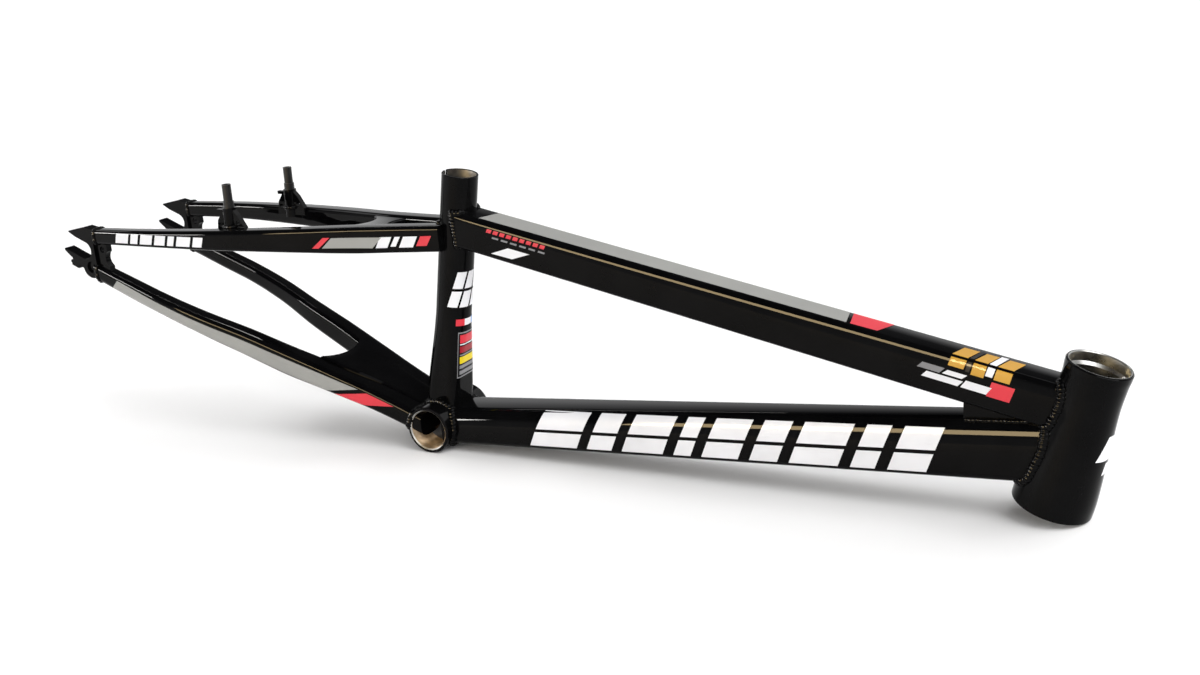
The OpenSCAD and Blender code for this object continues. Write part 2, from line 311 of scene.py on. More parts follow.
# ---- Meshes ----
def added(name: str, data: bpy.types.ID) -> bpy.types.Object:
    """Adds an object with the given data to the scene and returns it."""
    obj = bpy.data.objects.new(name, data)
    bpy.context.scene.collection.objects.link(obj)
    return obj


def make(
    name: str,
    points: list[Point],
    faces: list[tuple[int, ...]],
    finish: Finish,
    sharp: float = 32.0,
) -> bpy.types.Object:
    """Makes one visible piece that rides on the frame.

    Args:
        name: Name of the piece.
        points: Points in millimetres.
        faces: Faces as tuples of point numbers.
        finish: Its finish.
        sharp: Edges over this angle in degrees stay sharp.

    Returns:
        The new object.
    """
    mesh = bpy.data.meshes.new(name)
    mesh.from_pydata([(x * MM, y * MM, z * MM) for x, y, z in points], [], faces)
    mesh.validate()
    obj = added(name, mesh)
    mesh.materials.append(finish.build())
    for polygon in mesh.polygons:
        polygon.use_smooth = True
    mesh.set_sharp_from_angle(angle=math.radians(sharp))
    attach(obj, "root")
    LOG.info("%s: %d faces", name, len(mesh.polygons))
    return obj


def skin(rings: list[list[Point]], loop: bool = True, caps: bool = False) -> list[tuple[int, ...]]:
    """Lists the faces between rings of points.

    Args:
        rings: Rings with the same number of points.
        loop: Whether each ring closes on itself.
        caps: Whether the first and last ring are filled.

    Returns:
        The faces.
    """
    m = len(rings[0])
    faces: list[tuple[int, ...]] = []
    for i in range(len(rings) - 1):
        for j in range(m if loop else m - 1):
            k = (j + 1) % m
            faces.append((i * m + j, i * m + k, (i + 1) * m + k, (i + 1) * m + j))
    if caps:
        faces.append(tuple(reversed(range(m))))
        faces.append(tuple(range((len(rings) - 1) * m, len(rings) * m)))
    return faces


def flat(rings: list[list[Point]]) -> list[Point]:
    """Returns all points of the rings in one list."""
    return [p for ring in rings for p in ring]


def lathe(
    name: str,
    profile: list[Pair],
    place: Callable[[Point], Point],
    finish: Finish,
    steps: int = 160,
    sharp: float = 28.0,
) -> bpy.types.Object:
    """Turns a profile about its own Z axis and places it.

    Args:
        name: Name of the piece.
        profile: Radius and height pairs.
        place: Takes a point about the axis to the frame.
        finish: Its finish.
        steps: Points round the axis.
        sharp: Edges over this angle stay sharp.

    Returns:
        The new object.
    """
    rings = [
        [
            place((r * math.cos(math.tau * j / steps), r * math.sin(math.tau * j / steps), h))
            for j in range(steps)
        ]
        for r, h in profile
    ]
    return make(name, flat(rings), skin(rings), finish, sharp)


def tilted(origin: Point, lean: float) -> Callable[[Point], Point]:
    """Gives the placing of a part whose own Z axis leans forward.

    Args:
        origin: Where its origin goes.
        lean: Degrees that the axis leans towards +X.

    Returns:
        A function that places a point.
    """
    c, s = math.cos(math.radians(lean)), math.sin(math.radians(lean))

    def place(p: Point) -> Point:
        """Returns the placed point."""
        return (origin[0] + p[0] * c + p[2] * s, origin[1] + p[1], origin[2] - p[0] * s + p[2] * c)

    return place


# ---- Tubes with a changing section ----
@dataclass
class Section:
    """One section of a tube in a plane of constant X: a rectangle with elliptic corners."""

    x: float
    side: float
    half: float
    top: float
    bottom: float
    upper: Pair
    lower: Pair

    def ring(self, steps: int = 12) -> list[Point]:
        """Returns the outline, starting at its +Y side.

        Args:
            steps: Steps round each corner.
        """
        out: list[Point] = []
        for k, (sy, sz, corner) in enumerate(
            [(1, 1, self.upper), (-1, 1, self.upper), (-1, -1, self.lower), (1, -1, self.lower)]
        ):
            cy = self.side + sy * (self.half - corner[0])
            cz = (self.top - corner[1]) if sz > 0 else (self.bottom + corner[1])
            for j in range(steps + 1):
                a = math.radians(90 * k + 90 * j / steps)
                out.append((self.x, cy + corner[0] * math.cos(a), cz + corner[1] * math.sin(a)))
        return out

    def reach(self, z: float) -> float:
        """Returns how far the side stands from the section's middle at a height z."""
        if z > self.top - self.upper[1]:
            rx, rz = self.upper
            drop = (z - (self.top - rz)) / rz
        elif z < self.bottom + self.lower[1]:
            rx, rz = self.lower
            drop = ((self.bottom + rz) - z) / rz
        else:
            return self.half
        return self.half - rx + rx * math.sqrt(max(0.0, 1 - min(1.0, drop) ** 2))

    def height(self, y: float) -> float:
        """Returns the height of the upper surface at a distance y from the section's middle."""
        rx, rz = self.upper
        over = (abs(y) - (self.half - rx)) / rx
        return self.top if over <= 0 else self.top - rz + rz * math.sqrt(max(0.0, 1 - over**2))


@dataclass
class Tube:
    """A tube drawn through its sections, which takes printed panels."""

    name: str
    node: str
    start: float
    end: float
    at: Callable[[float], Section]
    count: int = 90

    def build(self) -> None:
        """Builds the painted skin and shows it in place of its solid."""
        stops = [mix(self.start, self.end, i / (self.count - 1)) for i in range(self.count)]
        rings = [self.at(x).ring() for x in stops]
        obj = make(self.name, flat(rings), skin(rings, caps=True), PAINT)
        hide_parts(self.node)

    def panel(
        self,
        name: str,
        corners: tuple[Pair, ...],
        finish: Finish,
        face: Face = Face.OUTER,
        side: Side = Side.RIGHT,
        lift: float = PRINT_LIFT,
    ) -> None:
        """Prints a four-cornered panel on the tube's surface.

        Args:
            name: Name of the panel.
            corners: Corners in order round it: X and height on the outer face, X and Y on top.
            finish: Its finish.
            face: The face it lies on.
            side: The side of the tube, for the outer face.
            lift: How far it stands from the paint in millimetres.
        """
        (a, b, c, d) = corners
        along, across = 40, 8
        rows: list[list[Point]] = []
        for j in range(across + 1):
            row: list[Point] = []
            for i in range(along + 1):
                u, v = i / along, j / across
                x = mix(mix(a[0], b[0], u), mix(d[0], c[0], u), v)
                w = mix(mix(a[1], b[1], u), mix(d[1], c[1], u), v)
                s = self.at(x)
                if face is Face.TOP:
                    row.append((x, w, s.height(w - s.side) + lift))
                else:
                    row.append((x, s.side + side.value * (s.reach(w) + lift), w))
            rows.append(row)
        make(name, flat(rows), skin(rows, loop=False), finish)

    def bar(
        self, name: str, side: Side, span: Pair, rise: Pair, slant: float, finish: Finish
    ) -> None:
        """Prints a slanted bar on the outer face.

        Args:
            name: Name of the bar, without its side.
            side: The side of the tube.
            span: X of its lower edge's ends.
            rise: Its lower and upper edge above the tube's lower line.
            slant: How far the upper edge is ahead of the lower one.
            finish: Its finish.
        """
        (x0, x1), (lo, hi) = span, rise
        base = ((x0, lo), (x1, lo), (x1 + slant, hi), (x0 + slant, hi))
        corners = tuple((x, self.at(x).bottom + up) for x, up in base)
        self.panel(f"{name}_{side.name.lower()}", corners, finish, side=side)


@dataclass
class Geometry:
    """The lines that the tubes share."""

    bb_d: float = 42.0
    bb_w: float = 68.0
    head_x: float = 520.0
    head_len: float = 113.0
    head_lean: float = 15.7
    head_top_d: float = 46.5
    head_low_d: float = 57.5
    seat_len: float = 225.5
    seat_lean: float = 10.3
    seat_d: float = 31.0
    axle_x: float = -349.0
    axle_z: float = 156.0
    plate_t: float = 11.0
    plate_y: float = 60.5
    top_drop: float = 18.0
    down_drop: float = 38.5
    stay_start: float = 15.0
    stay_rise: float = 20.5
    chain_start: float = 9.0
    chain_drop: float = 13.0

    def __post_init__(self) -> None:
        """Works out where the tubes' upper lines meet the other tubes' axes."""
        lean = math.radians(self.head_lean)
        self.head_low = (self.head_x, 0.0, -self.bb_d / 2 + self.head_low_d / 2 * math.sin(lean))
        self.top_a = self.on_seat(self.seat_len - 29.5)
        self.top_b = self.on_head(self.head_len - self.top_drop)
        self.down_a = (0.0, self.bb_d / 2 - 6.4)
        self.down_b = self.on_head(self.head_len - self.down_drop)
        self.stay_top = self.top_a[1] - 12
        self.stay_x0 = self.axle_x + self.stay_start
        self.stay_x1 = self.stay_top * math.tan(math.radians(self.seat_lean))
        self.chain_x0 = self.axle_x + self.chain_start

    def on_head(self, s: float) -> Pair:
        """Returns X and Z of the point at s along the head tube's axis."""
        a = math.radians(self.head_lean)
        return (self.head_x + s * math.sin(a), self.head_low[2] + s * math.cos(a))

    def on_seat(self, s: float) -> Pair:
        """Returns X and Z of the point at s along the seat tube's axis."""
        a = math.radians(self.seat_lean)
        return (s * math.sin(a), s * math.cos(a))

    def top_section(self, x: float) -> Section:
        """Returns the top tube's section at x."""
        f = (x - self.top_a[0]) / (self.top_b[0] - self.top_a[0])
        t = mix(self.top_a[1], self.top_b[1], f)
        return Section(x, 0, 17, t, t - mix(30.5, 34.5, f), (5, mix(6, 22, f)), (4, 4))

    def down_section(self, x: float) -> Section:
        """Returns the down tube's section at x."""
        f = x / self.down_b[0]
        t = mix(self.down_a[1], self.down_b[1], f)
        w = mix(50, 40, f) / 2
        upper = (w - mix(13, 6.5, f), mix(17, 30, f))
        return Section(x, 0, w, t, t - mix(30.5, 48.5, f), upper, (7, 6))

    def seat_stay_section(self, side: Side, x: float) -> Section:
        """Returns a seat stay's section at x."""
        plan = [
            (0, 1, 7, 14), (0.175, 1, 8, 15), (0.37, 0.87, 8.5, 17.6), (0.59, 0.59, 9, 20.6),
            (0.75, 0.31, 9, 23.2), (0.86, 0.165, 9, 23), (1, 0, 9, 22.5),
        ]
        f = (x - self.stay_x0) / (self.stay_x1 - self.stay_x0)
        share, half, tall = smooth_plan(plan, f)
        t = self.stay_line(f)
        y = side.value * mix(12, self.plate_y, share)
        return Section(x, y, half, t, t - tall, (4, 4), (4, 4))

    def stay_line(self, f: float) -> float:
        """Returns the height of the seat stays' upper line at a share f of their length."""
        return mix(self.axle_z + self.stay_rise, self.stay_top, f)

    def chain_line(self, f: float) -> float:
        """Returns the height of the chain stays' upper line at a share f of their length."""
        return mix(self.axle_z - self.chain_drop, 8, f) + 4 * math.sin(math.pi * f)

    def chain_stay_section(self, side: Side, x: float) -> Section:
        """Returns a chain stay's section at x."""
        plan = [
            (0, 1, 7, 16), (0.12, 1, 7.5, 17.5), (0.235, 0.99, 8, 18), (0.353, 0.89, 8.5, 20),
            (0.47, 0.7, 9, 23), (0.588, 0.55, 9.5, 24.5), (0.676, 0.41, 10.5, 23.5),
            (0.75, 0.29, 11.5, 22.5), (0.824, 0.17, 12.5, 21.5), (0.912, 0.06, 14, 21),
            (1, 0, 15, 20),
        ]
        f = (x - self.chain_x0) / (0 - self.chain_x0)
        share, half, tall = smooth_plan(plan, f)
        t = self.chain_line(f)
        y = side.value * mix(17, self.plate_y, share)
        return Section(x, y, half, t, t - tall, (half * 0.45, 4.5), (half * 0.75, 7))

    def head_radius(self, s: float) -> float:
        """Returns the head tube's outer radius at s along its axis."""
        low, top, n = self.head_low_d / 2, self.head_top_d / 2, self.head_len
        plan = [
            (0, low), (11, low), (22, low - 0.7), (46, (low + top) / 2 - 0.2),
            (n - 45, top + 0.6), (n - 27, top - 0.7), (n - 10, top - 0.5), (n - 5, top), (n, top),
        ]
        return smooth_plan(plan, s)[0]

    def in_head(self, p: Point) -> bool:
        """Returns whether a point is inside the head tube's outer surface."""
        a = math.radians(self.head_lean)
        dx, dz = p[0] - self.head_low[0], p[2] - self.head_low[2]
        s = dx * math.sin(a) + dz * math.cos(a)
        q = dx * math.cos(a) - dz * math.sin(a)
        return 0 <= s <= self.head_len and math.hypot(q, p[1]) < self.head_radius(s)

    def seat_outline(self, s: float) -> tuple[float, float, float]:
        """Returns the seat tube's half width, half depth and corner radius at s along its axis."""
        round_r = self.seat_d / 2
        f = max(0.0, min(1.0, (s - 18) / (108 - 18)))
        f = f * f * (3 - 2 * f)
        return (mix(17.5, round_r, f), round_r, mix(7, round_r - 0.01, f))

    def in_seat(self, p: Point) -> bool:
        """Returns whether a point is inside the seat tube's outer surface."""
        a = math.radians(self.seat_lean)
        s = p[0] * math.sin(a) + p[2] * math.cos(a)
        q = p[0] * math.cos(a) - p[2] * math.sin(a)
        half, deep, r = self.seat_outline(s)
        dy, dx = max(abs(p[1]) - (half - r), 0), max(abs(q) - (deep - r), 0)
        return 0 <= s <= self.seat_len and math.hypot(dy, dx) < r

    def in_shell(self, p: Point) -> bool:
        """Returns whether a point is inside the bottom bracket shell's outer surface."""
        return abs(p[1]) < self.bb_w / 2 and math.hypot(p[0], p[2]) < self.bb_d / 2


GEO = Geometry()


# ---- Weld beads ----
@dataclass
class Weld:
    """A row of overlapping weld puddles along a joint."""

    name: str
    path: list[Point]
    closed: bool = True
    radius: float = BEAD_RADIUS
    pitch: float = 2.9
    seed: int = 1

    def build(self) -> bpy.types.Object:
        """Builds the bead as a rippled ridge.

        Returns:
            The bead.
        """
        rng = random.Random(self.seed)
        pts = [Vector(p) for p in self.path]
        if self.closed:
            pts.append(pts[0].copy())
        lengths = [0.0]
        for a, b in zip(pts, pts[1:]):
            lengths.append(lengths[-1] + (b - a).length)
        total = lengths[-1]
        puddles = max(3, round(total / self.pitch))
        per, m, step = 6, 10, 0.8
        n = puddles * per
        scale = [rng.uniform(0.9, 1.12) for _ in range(puddles + 1)]

        def at(d: float) -> Vector:
            """Returns the point at a distance d along the path."""
            d = max(0.0, min(total, d))
            i = max(0, min(len(pts) - 2, sum(1 for v in lengths if v <= d) - 1))
            span = max(lengths[i + 1] - lengths[i], 1e-9)
            return pts[i].lerp(pts[i + 1], (d - lengths[i]) / span)

        rings: list[list[Point]] = []
        centre = sum((p for p in pts), Vector()) / len(pts)
        for i in range(n if self.closed else n + 1):
            d = total * i / n
            p = at(d)
            if self.closed:
                tangent = at((d + step) % total) - at((d - step) % total)
            else:
                tangent = at(d + step) - at(d - step)
            tangent.normalize()
            out = p - centre
            out -= tangent * out.dot(tangent)
            out = out.normalized() if out.length > 1e-6 else Vector((0, 0, 1))
            third = tangent.cross(out)
            phase = (i % per) / per
            k = (i // per) % puddles
            crest = math.sqrt(max(0.0, math.sin(math.pi * (0.12 + 0.86 * phase))))
            swell = (0.68 + 0.4 * crest) * scale[k]
            ring = []
            for j in range(m):
                a = math.tau * j / m
                v = p + (out * math.cos(a) * 0.8 + third * math.sin(a)) * self.radius * swell
                ring.append((v.x, v.y, v.z))
            rings.append(ring)
        faces = skin(rings)
        if self.closed:
            last = (len(rings) - 1) * m
            faces += [(last + j, last + (j + 1) % m, (j + 1) % m, j) for j in range(m)]
        return make(self.name, flat(rings), faces, PAINT, sharp=60.0)


def joint_path(
    at: Callable[[float], Section],
    inside: Callable[[Point], bool],
    free: float,
    buried: float,
    corners: int = 9,
) -> list[Point]:
    """Follows the line where a tube's skin meets another tube.

    Args:
        at: Gives the tube's section at X.
        inside: Tells whether a point is inside the other tube.
        free: An X where the skin is clear of the other tube.
        buried: An X where the skin is inside the other tube.
        corners: Steps round each corner of the section.

    Returns:
        Points along the joint, in order round the tube.
    """
    count = len(at(free).ring(corners))
    out: list[Point] = []
    for j in range(count):
        a, b = free, buried
        if not inside(at(b).ring(corners)[j]):
            continue
        for _ in range(18):
            c = (a + b) / 2
            if inside(at(c).ring(corners)[j]):
                b = c
            else:
                a = c
        out.append(at(a).ring(corners)[j])
    even: list[Point] = []
    for p, q in zip(out, out[1:] + out[:1]):
        gap = math.dist(p, q)
        for k in range(max(1, int(gap / 2.0))):
            f = k / max(1, int(gap / 2.0))
            even.append((mix(p[0], q[0], f), mix(p[1], q[1], f), mix(p[2], q[2], f)))
    return even


def squared_reach(c: float, s: float, half: float, deep: float, r: float) -> float:
    """Finds how far a rectangle with round corners reaches in one direction.

    Args:
        c: Cosine of the direction's angle from forward.
        s: Sine of that angle.
        half: Half width.
        deep: Half depth.
        r: Corner radius.

    Returns:
        The distance from the middle to the outline.
    """
    lo, hi = 0.0, 60.0
    for _ in range(26):
        t = (lo + hi) / 2
        dx = max(abs(t * c) - (deep - r), 0)
        dy = max(abs(t * s) - (half - r), 0)
        if math.hypot(dx, dy) < r:
            lo = t
        else:
            hi = t
    return lo


def wrapped(
    name: str,
    place: Callable[[Point], Point],
    reach: Callable[[float, float, float], float],
    box: Box,
    slant: float,
    finish: Finish,
    lift: float,
    rows: int,
) -> None:
    """Prints a patch round a tube, between two angles and two places on its axis.

    Args:
        name: Name of the patch.
        place: Takes a point about the tube's axis to the frame.
        reach: Gives the outside's distance from the axis at a place and a direction.
        box: First and last angle from forward, then lowest and highest place on the axis.
        slant: Degrees that its upper edge is ahead of the lower one.
        finish: Its finish.
        lift: How far it stands from the paint.
        rows: Rows of faces along the axis.
    """
    a0, a1, s0, s1 = box
    grid = []
    for j in range(rows + 1):
        s = mix(s0, s1, j / rows)
        line = []
        for i in range(17):
            a = math.radians(mix(a0, a1, i / 16) + slant * (j / rows - 0.5))
            r = reach(s, math.cos(a), math.sin(a)) + lift
            line.append(place((r * math.cos(a), r * math.sin(a), s)))
        grid.append(line)
    make(name, flat(grid), skin(grid, loop=False), finish)


# ---- Sub-assemblies ----
@dataclass
class HeadTube:
    """The tapered head tube with its two bearing seats."""

    geo: Geometry
    upper_bore: float = 41.9
    lower_bore: float = 52.1
    seat_depth: float = 7.5

    def build(self) -> None:
        """Builds the painted shell and the machined rims."""
        g = self.geo
        place = tilted(g.head_low, g.head_lean)
        n = g.head_len
        top, low = g.head_top_d / 2, g.head_low_d / 2
        steps = 70
        outer = [(low - 1.0, 0.0), (low - 0.3, 0.3), (low, 1.0)]
        levels = [mix(2.0, n - 1.4, i / (steps - 1)) for i in range(steps)]
        outer += [(g.head_radius(s), s) for s in levels]
        outer += [(top, n - 1.0), (top - 0.35, n - 0.7)]
        shell = lathe("head_tube_shell", outer, place, PAINT)
        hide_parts("head_tube")
        bore = self.upper_bore / 2
        edge = bore + 1.0
        rim = [(top - 0.35, n - 0.7), (top - 0.7, n - 0.05), (top - 0.8, n), (edge, n)]
        lathe("head_tube_painted_rim", rim, place, PAINT)
        floor = n - self.seat_depth
        relief, neck, belly = 19.0, n - 14, 23.0
        seat = [(edge, n), (bore + 0.6, n), (bore, n - 0.6), (bore, floor)]
        seat += [(19.6, floor - 1.5), (relief, floor - 2.2), (relief, neck)]
        lathe("head_tube_upper_rim", seat, place, BARE)
        inside = [(relief, neck), (relief, n - 40), (belly, 24), (belly, 10.5)]
        lathe("head_tube_inside", inside, place, RAW_INSIDE)
        lower = self.lower_bore / 2
        seat = [(belly, 10.5), (lower, 7.5), (lower, 0.5), (lower + 0.5, 0.0), (low - 1.0, 0.0)]
        lathe("head_tube_lower_rim", seat, place, BARE)

    def dress(self) -> None:
        """Prints the panel on the front of the head tube."""
        g = self.geo
        place = tilted(g.head_low, g.head_lean)
        for name, box, slant in (
            ("head_panel_low", (-17, 15, 38, 47), 6),
            ("head_panel_high", (-34, 12, 49.5, 68), 18),
        ):
            wrapped(
                name, place, lambda s, *_: g.head_radius(s), box, slant, WHITE, PRINT_LIFT, 12
            )


@dataclass
class SeatTube:
    """The seat tube: a squared foot that turns round, with a split rim."""

    geo: Geometry
    bore: float = 27.2
    slot_w: float = 3.6
    slot_l: float = 30.0

    def ring(self, s: float, half: float, deep: float, r: float, slit: float = 0.0) -> list[Point]:
        """Returns a ring about the seat tube's axis, starting behind the tube.

        Args:
            s: Distance along the axis.
            half: Half width.
            deep: Half depth.
            r: Corner radius.
            slit: Half width of the slot at the back.
        """
        place = tilted((0.0, 0.0, 0.0), self.geo.seat_lean)
        out: list[Point] = []
        steps = 96
        for j in range(steps + 1):
            a = math.pi + math.tau * j / steps
            c, sn = math.cos(a), math.sin(a)
            out_by = squared_reach(c, sn, half, deep, r)
            x, y = out_by * c, out_by * sn
            if slit and x < 0 and abs(y) < slit:
                y = slit if j > steps / 2 else -slit
            out.append(place((x, y, s)))
        return out

    def build(self) -> None:
        """Builds the painted outside, the painted rim, the slot walls and the bore."""
        g = self.geo
        slot_from = g.seat_len - self.slot_l
        levels = [mix(12.0, slot_from - 1.0, i / 60) for i in range(61)]
        rings = [self.ring(s, *g.seat_outline(s)) for s in levels]
        levels = [slot_from, slot_from + 0.6]
        levels += [mix(slot_from + 4, g.seat_len - 0.5, i / 6) for i in range(7)]
        slits = [0.3, 1.4] + [self.slot_w / 2] * 7
        split = [self.ring(s, *g.seat_outline(s), w) for s, w in zip(levels, slits)]
        r = g.seat_d / 2
        rim = self.ring(g.seat_len, r - 0.4, r - 0.4, r - 0.45, self.slot_w / 2)
        b = self.bore / 2
        all_rings = rings + split + [rim]
        obj = make("seat_tube_shell", flat(all_rings), skin(all_rings, loop=False), PAINT)
        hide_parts("seat_tube")
        edge = self.ring(g.seat_len, b + 0.3, b + 0.3, b + 0.25, self.slot_w / 2)
        inner = self.ring(g.seat_len - 0.4, b, b, b - 0.02, self.slot_w / 2)
        make("seat_tube_rim", flat([rim, edge, inner]), skin([rim, edge, inner], loop=False), PAINT)
        bore = [inner] + [
            self.ring(s, b, b, b - 0.02, self.slot_w / 2)
            for s in (g.seat_len - 6, slot_from + 4, slot_from + 0.5)
        ]
        bore += [self.ring(s, b, b, b - 0.02) for s in (slot_from, slot_from - 20, 60.0, 24.0)]
        make("seat_tube_bore", flat(bore), skin(bore, loop=False), RAW_INSIDE)
        m = len(rim)
        for k, name in ((0, "seat_slot_wall_right"), (m - 1, "seat_slot_wall_left")):
            outer_line = [ring[k] for ring in split] + [rim[k]]
            inner_line = [
                self.ring(s, b, b, b - 0.02, w)[k]
                for s, w in zip([*levels, g.seat_len - 0.4], [*slits, self.slot_w / 2])
            ]
            make(name, outer_line + inner_line, skin([outer_line, inner_line], loop=False), PAINT)

    def dress(self) -> None:
        """Prints the panels down the front of the seat tube."""
        for i, (a0, a1) in enumerate([(-66, -34), (-27, 5), (12, 44)]):
            self.patch(f"seat_bar_{i + 1}_low", (a0 - 7, a1 - 7, 111, 125.5), 14, WHITE)
            self.patch(f"seat_bar_{i + 1}_high", (a0 + 8, a1 + 8, 128.0, 143), 14, WHITE)
        for name, a0, a1, finish in (
            ("red", -50, -20, RED),
            ("white", -20, 12, WHITE),
            ("blue", 12, 46, BLUE),
        ):
            self.patch(f"seat_tag_{name}", (a0, a1, 94, 100), 0, finish)
        self.patch("seat_box_line", (-42, 42, 46, 88), 0, GREY, 0.12)
        self.patch("seat_box_ground", (-40, 40, 47.2, 86.8), 0, INK_AND_HOLE_SHADE, 0.17)
        bands = [
            (78.0, 85.5, RED),
            (76.2, 77.2, WHITE),
            (69.0, 75.0, DARK_RED),
            (66.4, 67.6, GREY),
            (59.0, 65.4, YELLOW),
            (54.5, 57.5, GREY),
            (49.0, 52.5, GREY),
        ]
        for i, (s0, s1, finish) in enumerate(bands):
            self.patch(f"seat_box_band_{i + 1}", (-35, 35, s0, s1), 0, finish, 0.22)

    def patch(
        self, name: str, box: Box, slant: float, finish: Finish, lift: float = 0.14
    ) -> None:
        """Prints a patch on the tube between two angles and two heights.

        Args:
            name: Name of the patch.
            box: First and last angle from forward, then lowest and highest place on the axis.
            slant: Degrees that its upper edge is ahead of the lower one.
            finish: Its finish.
            lift: How far it stands from the paint.
        """
        g = self.geo
        place = tilted((0.0, 0.0, 0.0), g.seat_lean)

        def reach(along: float, c: float, sn: float) -> float:
            """Returns the outside's distance from the axis in one direction."""
            return squared_reach(c, sn, *g.seat_outline(along))

        wrapped(name, place, reach, box, slant, finish, lift, 8)


@dataclass
class BottomBracket:
    """The bottom bracket shell with its machined faces and thread."""

    geo: Geometry
    crest: float = 34.8
    thread_l: float = 24.0
    pitch: float = 1.06
    depth: float = 0.5

    def build(self) -> None:
        """Builds the painted outside, the faces, the threads and the relief."""
        g = self.geo
        w, r = g.bb_w / 2, g.bb_d / 2

        def place(p: Point) -> Point:
            """Lays the turned profile along Y."""
            return (p[0], p[2], -p[1])

        outer = [(r - 0.6, -w), (r, -w + 0.6), (r, -w + 4), (r, w - 4), (r, w - 0.6), (r - 0.6, w)]
        shell = lathe("bottom_bracket_shell_paint", outer, place, PAINT)
        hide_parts("bottom_bracket_shell")
        c = self.crest / 2
        for side in Side:
            k = side.value
            tag = side.name.lower()
            face = [(r - 0.6, k * w), (c + 1.1, k * w)]
            lathe(f"bottom_bracket_face_{tag}", face, place, PAINT)
            chamfer = [(c + 1.1, k * w), (c + 0.1, k * (w - 0.9))]
            lathe(f"bottom_bracket_chamfer_{tag}", chamfer, place, BARE)
            thread: list[Pair] = [(c + 0.1, k * (w - 0.9))]
            y = w - 1.0
            while y > w - self.thread_l:
                root = (c + self.depth, k * (y - self.pitch / 2))
                thread += [(c, k * y), (c, k * (y - 0.2)), root]
                y -= self.pitch
            thread.append((c + 0.8, k * (w - self.thread_l)))
            name = f"bottom_bracket_thread_{tag}"
            lathe(name, thread, place, THREAD, 120)
        relief = [(c + 0.8, w - self.thread_l), (c + 0.8, -w + self.thread_l)]
        lathe("bottom_bracket_relief", relief, place, RAW_INSIDE)
        # Dark discs of painted shade stand for the two air holes.
        self.hole_shade("bottom_bracket_air_hole_seat", 90 - g.seat_lean, 8.0)
        self.hole_shade("bottom_bracket_air_hole_yoke", 158, 5.5)

    def hole_shade(self, name: str, angle: float, radius: float) -> None:
        """Paints the shade seen through an air hole in the shell's wall as a dark disc a little
        inside the relief.

        Args:
            name: Name of the piece.
            angle: Degrees from forward, towards up.
            radius: Radius of the hole.
        """
        a = math.radians(angle)
        c = self.crest / 2 + 0.7
        pts: list[Point] = []
        steps = 40
        for ring in range(5):
            rr = radius * ring / 4
            for j in range(steps):
                t = math.tau * j / steps
                y, across = rr * math.sin(t), rr * math.cos(t)
                out = math.sqrt(max(c * c - across * across, 0.0))
                x = out * math.cos(a) - across * math.sin(a)
                pts.append((x, y, out * math.sin(a) + across * math.cos(a)))
        rings = [pts[i * steps : (i + 1) * steps] for i in range(5)]
        # A black disc of painted shade where the hole opens into the tube.
        make(name, pts, skin(rings), INK_AND_HOLE_SHADE)


